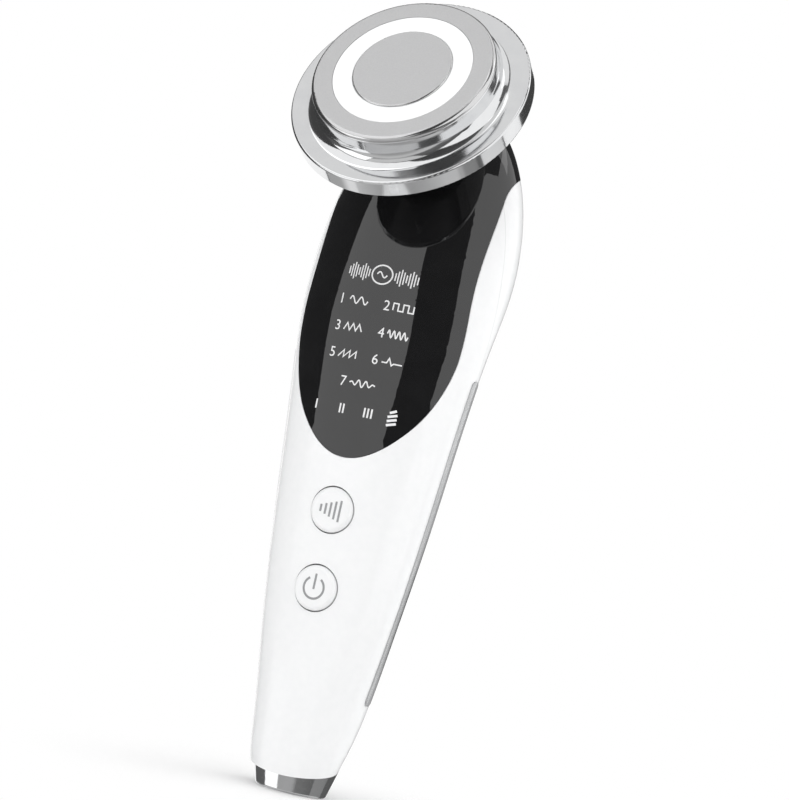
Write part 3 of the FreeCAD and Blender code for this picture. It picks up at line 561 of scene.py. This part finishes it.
def screen_cloth():
    """Dim even glow of the screens; its grey follows the height, as seen from the studio's centre."""
    # Height (0 straight down, 1 straight up) and grey.
    greys = ((0.02, 0.34), (0.1, 0.54), (0.148, 0.54), (0.186, 0.14), (0.36, 0.1), (0.46, 0.055),
             (0.72, 0.06), (0.95, 0.12))
    made = bpy.data.materials.new("screen_cloth")
    made.use_nodes = True
    tree = made.node_tree
    tree.nodes.remove(tree.nodes["Principled BSDF"])
    link = tree.links.new
    glow = add(tree, "ShaderNodeEmission")
    coords = add(tree, "ShaderNodeTexCoord")
    toward = add(tree, "ShaderNodeVectorMath", operation="NORMALIZE")
    link(coords.outputs["Object"], toward.inputs[0])
    split = add(tree, "ShaderNodeSeparateXYZ")
    link(toward.outputs["Vector"], split.inputs["Vector"])
    height = map_range(tree, split.outputs["Z"], (-1.0, 1.0))
    shade = add(tree, "ShaderNodeValToRGB")
    stops = shade.color_ramp.elements
    stops[0].position = greys[0][0]
    stops[1].position = greys[-1][0]
    for position, _ in greys[1:-1]:
        stops.new(position)
    for stop, (_, grey) in zip(stops, greys):
        stop.color = (grey, grey, grey, 1.0)
    link(height.outputs["Result"], shade.inputs["Fac"])
    link(shade.outputs["Color"], glow.inputs["Color"])
    link(glow.outputs["Emission"], tree.nodes["Material Output"].inputs["Surface"])
    return made


# Dark screens around and behind the four tall lamps, which only reflections show. Where these lamps stand,
# reflections show the white backdrop instead.
def make_screens(tall, meeting, set_back, floor_drop, ceiling_rise):
    """Dark room with an opening at each lamp; meeting names the lamps that adjoin the next one."""
    corners = []

    def keep(points):
        corners.extend(points)
        return list(range(len(corners) - len(points), len(corners)))

    openings = []
    for lamp in tall:
        lamp.visible_glossy = False
        turn = lamp.rotation_quaternion.to_matrix()
        half_x = lamp.data.size / 2
        half_y = lamp.data.size_y / 2
        edge = ((-half_x, -half_y), (half_x, -half_y), (half_x, half_y), (-half_x, half_y))
        inner = [lamp.location - studio_centre + turn @ Vector((x, y, 0)) for x, y in edge]
        outer = [p * set_back for p in inner]
        below = [Vector((p.x, p.y, -floor_drop)) for p in outer[:2]]
        above = [Vector((p.x, p.y, ceiling_rise)) for p in outer[2:]]
        openings.append([keep(points) for points in (inner, outer, below, above)])
    bottom, top = keep([Vector((0, 0, -floor_drop)), Vector((0, 0, ceiling_rise))])

    # Seen from outside, the corners of an opening run low left, low right, high right, high left.
    faces = []
    for i, (inner, outer, below, above) in enumerate(openings):
        next_outer, next_below, next_above = openings[(i + 1) % len(openings)][1:]
        cheeks = [(0, 1), (2, 3)]
        if tall[i].name not in meeting:
            cheeks.append((1, 2))
            faces.append((outer[1], next_outer[0], next_outer[3], outer[2]))
        if tall[i - 1].name not in meeting:
            cheeks.append((3, 0))
        faces += [(inner[a], inner[b], outer[b], outer[a]) for a, b in cheeks]
        faces += [(outer[0], outer[1], below[1], below[0]),
                  (outer[1], next_outer[0], next_below[0], below[1]),
                  (outer[3], outer[2], above[0], above[1]),
                  (outer[2], next_outer[3], next_above[1], above[0]),
                  (below[0], below[1], bottom),
                  (below[1], next_below[0], bottom),
                  (above[1], above[0], top),
                  (above[0], next_above[1], top)]
    mesh = bpy.data.meshes.new("dark_screens")
    mesh.from_pydata(corners, [], faces)
    mesh.materials.append(screen_cloth())
    screens = bpy.data.objects.new("dark_screens", mesh)
    bpy.context.scene.collection.objects.link(screens)
    screens.location = studio_centre
    screens.visible_camera = False
    screens.visible_diffuse = False
    screens.visible_transmission = False
    screens.visible_volume_scatter = False
    screens.visible_shadow = False


tall_lamps = [lamps[name] for name in ("left_front_lamp", "right_front_lamp", "right_rear_lamp", "rear_lamp")]
make_screens(tall_lamps, meeting=("right_front_lamp",), set_back=1.35, floor_drop=1.5, ceiling_rise=2.2)

# Camera: the photograph's angle, with the object leaning in the frame.
cam_azimuth = math.radians(24.77)
cam_elevation = math.radians(-2.37)
cam_roll = math.radians(12.54)
cam_distance = 0.5
cam_shift = 2.78 * MM
cam_aim = Vector((0, 1.9 * MM, 83.33 * MM))
cam_lens = 108.03
cam_sensor = 36.0
cam_near = 0.01
cam_far = 50.0
back = Vector((math.sin(cam_azimuth) * math.cos(cam_elevation),
               -math.cos(cam_azimuth) * math.cos(cam_elevation), math.sin(cam_elevation)))
right = Vector((math.cos(cam_azimuth), math.sin(cam_azimuth), 0))
up = back.cross(right)
turned_right = right * math.cos(cam_roll) + up * math.sin(cam_roll)
turned_up = up * math.cos(cam_roll) - right * math.sin(cam_roll)
place = cam_aim + right * cam_shift + back * cam_distance
cam_data = bpy.data.cameras.new("camera")
cam_data.lens = cam_lens
cam_data.sensor_width = cam_sensor
cam_data.clip_start = cam_near
cam_data.clip_end = cam_far
camera = bpy.data.objects.new("camera", cam_data)
bpy.context.scene.collection.objects.link(camera)
camera.matrix_world = Matrix((
    (turned_right.x, turned_up.x, back.x, place.x),
    (turned_right.y, turned_up.y, back.y, place.y),
    (turned_right.z, turned_up.z, back.z, place.z),
    (0, 0, 0, 1)))
bpy.context.scene.camera = camera
bpy.context.scene.view_settings.view_transform = "Standard"
